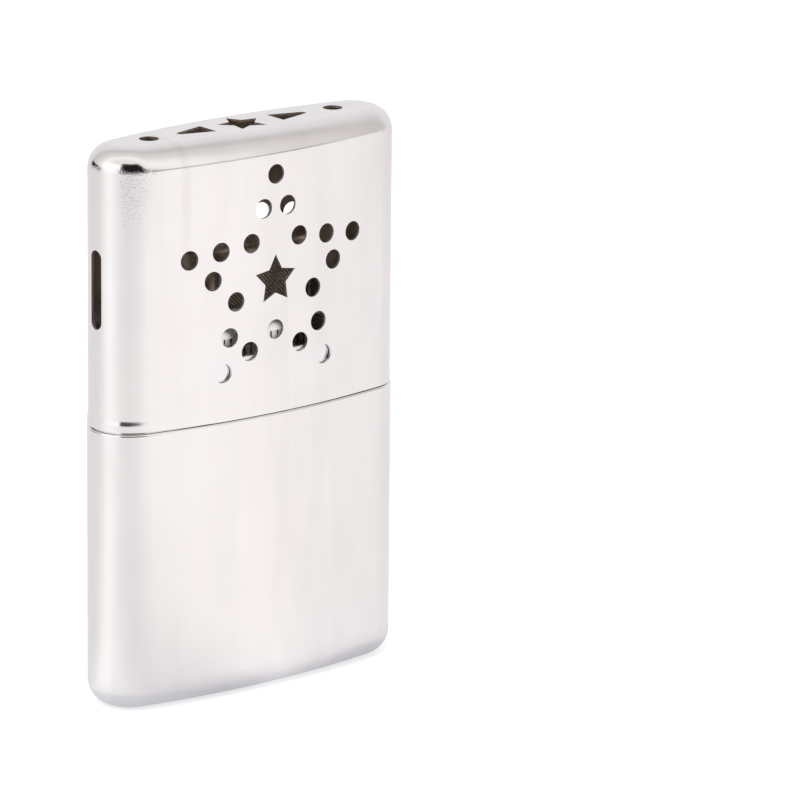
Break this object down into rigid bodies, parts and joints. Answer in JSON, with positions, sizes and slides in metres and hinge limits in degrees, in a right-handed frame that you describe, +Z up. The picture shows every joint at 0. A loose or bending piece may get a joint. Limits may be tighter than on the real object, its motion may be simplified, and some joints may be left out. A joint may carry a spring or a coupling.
{
  "type": "catalytic hand warmer",
  "caption": "Pocket catalytic hand warmer: plated fuel tank, perforated lift-off cover with star vents, and a gauze burner that lifts off an oblong filler neck.",
  "frame": {"origin": "centre of the flat base", "axes": "+Z up through the cover, X across the width, -Y out of the front face"},
  "size_m": [0.065, 0.0196, 0.1031],
  "materials": {
    "plated_case": "polished, faintly satin on the wide faces",
    "plated_inside": "polished",
    "burner_metal": "bright, unpolished",
    "wire_gauze": "woven wire, heat-darkened",
    "glass_fibre": "matted fibre, grey with catalyst",
    "cotton": "loose cotton",
    "felt": "pressed felt"
  },
  "bodies": {
    "tank": {"tank_shell": "plated_case", "guide_collar": "plated_inside", "tank_deck": "plated_inside", "filler_neck": "plated_inside", "fuel_wadding": "cotton", "wick_pad": "felt"},
    "burner": {"burner_skirt": "burner_metal", "burner_frame": "burner_metal", "burner_hood": "burner_metal", "floor_gauze": "wire_gauze", "front_gauze": "wire_gauze", "rear_gauze": "wire_gauze", "catalyst_mat": "glass_fibre"},
    "cover": {"cover_shell": "plated_case"}
  },
  "joints": [
    {"name": "cover_lift", "type": "slide", "parent": "tank", "child": "cover", "axis": [0, 0, 1], "range_m": [0, 0.06]},
    {"name": "burner_lift", "type": "slide", "parent": "tank", "child": "burner", "axis": [0, 0, 1], "range_m": [0, 0.012]}
  ]
}
